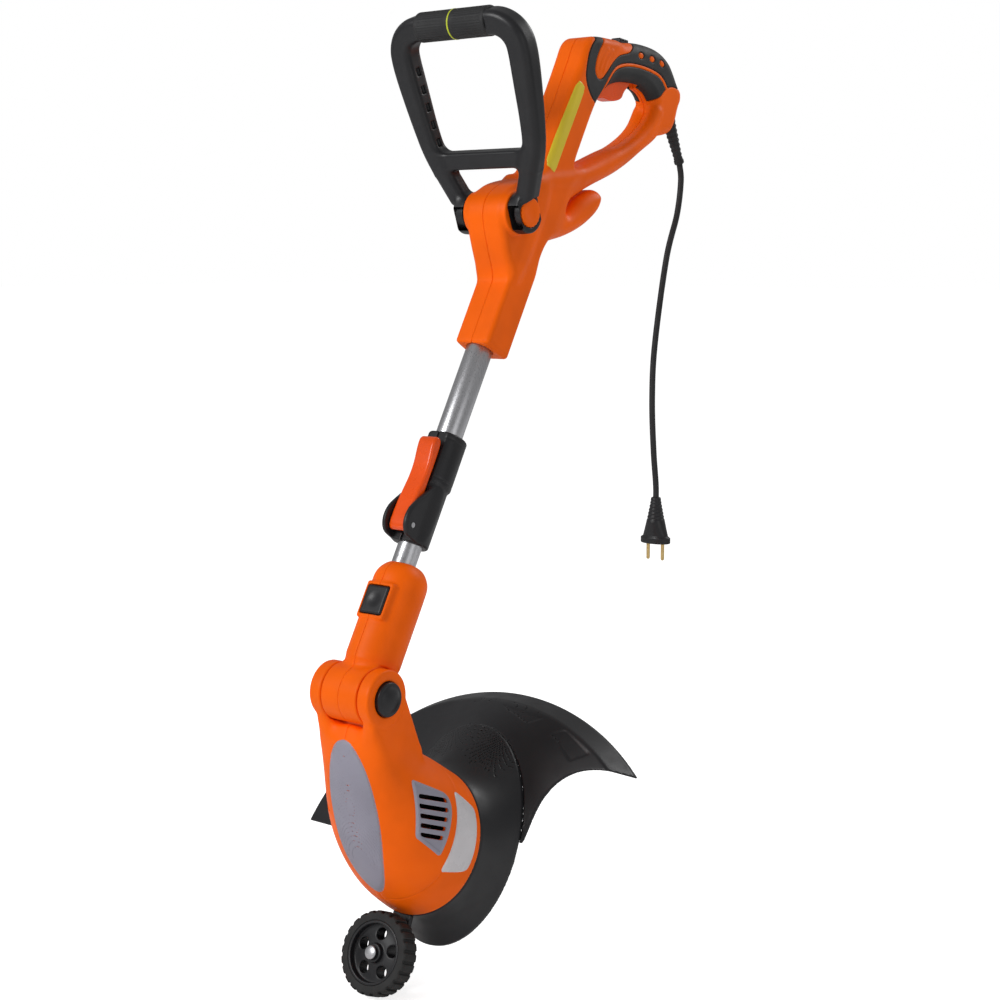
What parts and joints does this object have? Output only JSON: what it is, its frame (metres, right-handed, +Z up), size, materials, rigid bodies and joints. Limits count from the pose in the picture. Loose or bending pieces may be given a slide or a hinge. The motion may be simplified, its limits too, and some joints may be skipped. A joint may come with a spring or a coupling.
{
  "type": "lawn edger",
  "caption": "Corded string lawn edger with loop grip, adjustable front handle, telescopic tube, swivelling neck, tilting motor head, flared guard and guide wheel.",
  "frame": {"origin": "the point where the guide wheel's tyre stands on the ground, on the machine's middle plane", "axes": "+Z up, -Y the way the machine faces (front), +X to the operator's left; the tube leans back 30.3 degrees towards +Y"},
  "size_m": [0.3852, 0.5648, 0.9162],
  "materials": {
    "orange_plastic": "satin moulded",
    "orange_gloss": "gloss moulded",
    "black_plastic": "fine textured",
    "grey_plastic": "satin painted",
    "plain_plate": "plain printed film, no text",
    "black_rubber": "soft touch",
    "tyre_rubber": "moulded lugs",
    "tube_aluminium": "satin anodised",
    "steel": "zinc plated",
    "brass": "plain",
    "carbon": "pressed carbon",
    "nylon_line": "extruded nylon"
  },
  "bodies": {
    "handle": {"rear_housing_left": "orange_plastic", "rear_housing_right": "orange_plastic", "grip_overmould": "black_rubber", "housing_screws": "steel", "upper_tube": "tube_aluminium", "clamp_collar": "black_plastic", "lever_pin": "steel", "switch": "black_plastic", "trigger_pin": "steel", "trigger_spring": "steel", "front_handle_axle": "steel", "cord_boot": "black_rubber", "power_cord": "black_rubber", "plug_body": "black_plastic", "plug_pins": "brass"},
    "trigger": {"trigger": "orange_gloss"},
    "lock_off_button": {"lock_off_button": "black_plastic"},
    "front_handle": {"front_handle_frame": "black_plastic", "front_handle_grip": "black_rubber", "front_handle_spring_left": "steel", "front_handle_spring_right": "steel"},
    "front_handle_button_left": {"front_handle_button_left": "orange_plastic"},
    "front_handle_button_right": {"front_handle_button_right": "orange_plastic"},
    "clamp_lever": {"clamp_lever": "orange_gloss"},
    "lower_pole": {"lower_tube": "tube_aluminium", "swivel_ring": "steel"},
    "neck": {"neck_left": "orange_plastic", "neck_right": "orange_plastic", "neck_screws": "steel", "tilt_button_spring": "steel"},
    "swivel_button": {"swivel_button": "black_plastic"},
    "head": {"motor_housing_left": "orange_plastic", "motor_housing_right": "orange_plastic", "head_screws": "steel", "front_cover": "grey_plastic", "vent_grille_left": "grey_plastic", "vent_grille_right": "grey_plastic", "name_plates": "plain_plate", "guard_dome": "black_plastic", "guard_wing": "black_plastic", "motor_stator": "steel", "motor_bearings": "steel", "carbon_brushes": "carbon", "wheel_bracket": "black_plastic", "wheel_axle": "steel"},
    "tilt_button_left": {"tilt_button_left": "black_plastic"},
    "tilt_button_right": {"tilt_button_right": "black_plastic"},
    "rotor": {"motor_shaft": "steel", "armature": "steel", "commutator": "brass", "cooling_fan": "black_plastic", "spool_drum": "black_plastic", "drum_cover": "black_plastic", "cutting_line": "nylon_line", "bump_spring": "steel"},
    "spool": {"spool": "black_plastic", "line_coil": "nylon_line", "bump_knob": "black_plastic"},
    "wheel": {"wheel_hub": "black_plastic", "wheel_tyre": "tyre_rubber"}
  },
  "joints": [
    {"name": "trigger_pull", "type": "hinge", "parent": "handle", "child": "trigger", "pos_m": [0, 0.3513, 0.86374], "axis": [1, 0, 0], "range_deg": [0, 10], "deforming": ["trigger_spring"]},
    {"name": "lock_off_press", "type": "slide", "parent": "handle", "child": "lock_off_button", "axis": [0, -0.0924, -0.9957], "range_m": [0, 0.0025]},
    {"name": "front_handle_tilt", "type": "hinge", "parent": "handle", "child": "front_handle", "pos_m": [0, 0.18701, 0.72926], "axis": [1, 0, 0], "range_deg": [-30, 45]},
    {"name": "front_handle_release_left", "type": "slide", "parent": "front_handle", "child": "front_handle_button_left", "axis": [-1, 0, 0], "range_m": [0, 0.003], "deforming": ["front_handle_spring_left"]},
    {"name": "front_handle_release_right", "type": "slide", "parent": "front_handle", "child": "front_handle_button_right", "axis": [1, 0, 0], "range_m": [0, 0.003], "deforming": ["front_handle_spring_right"]},
    {"name": "clamp_lever_open", "type": "hinge", "parent": "handle", "child": "clamp_lever", "pos_m": [0, 0.04231, 0.44318], "axis": [1, 0, 0], "range_deg": [0, 105]},
    {"name": "telescope", "type": "slide", "parent": "handle", "child": "lower_pole", "axis": [0, -0.5045, -0.8634], "range_m": [0, 0.16]},
    {"name": "neck_swivel", "type": "hinge", "parent": "lower_pole", "child": "neck", "pos_m": [0, -0.0184, 0.2945], "axis": [0, 0.5045, 0.8634], "range_deg": [0, 180]},
    {"name": "swivel_release", "type": "slide", "parent": "neck", "child": "swivel_button", "axis": [0, 0.8634, -0.5045], "range_m": [0, 0.002]},
    {"name": "head_tilt", "type": "hinge", "parent": "neck", "child": "head", "pos_m": [0, -0.0184, 0.2945], "axis": [-1, 0, 0], "range_deg": [0, 75]},
    {"name": "tilt_release_left", "type": "slide", "parent": "head", "child": "tilt_button_left", "axis": [-1, 0, 0], "range_m": [0, 0.004], "deforming": ["tilt_button_spring"]},
    {"name": "tilt_release_right", "type": "slide", "parent": "head", "child": "tilt_button_right", "axis": [1, 0, 0], "range_m": [0, 0.004]},
    {"name": "motor_spin", "type": "hinge", "parent": "head", "child": "rotor", "pos_m": [0, 0.0293, 0.15095], "axis": [0, -0.9205, 0.3907], "continuous": true},
    {"name": "bump_feed", "type": "slide", "parent": "rotor", "child": "spool", "axis": [0, -0.9205, 0.3907], "range_m": [0, 0.004], "deforming": ["bump_spring"]},
    {"name": "wheel_spin", "type": "hinge", "parent": "head", "child": "wheel", "pos_m": [0, 0.00664, 0.03998], "axis": [0, -0.9205, 0.3907], "continuous": true}
  ]
}
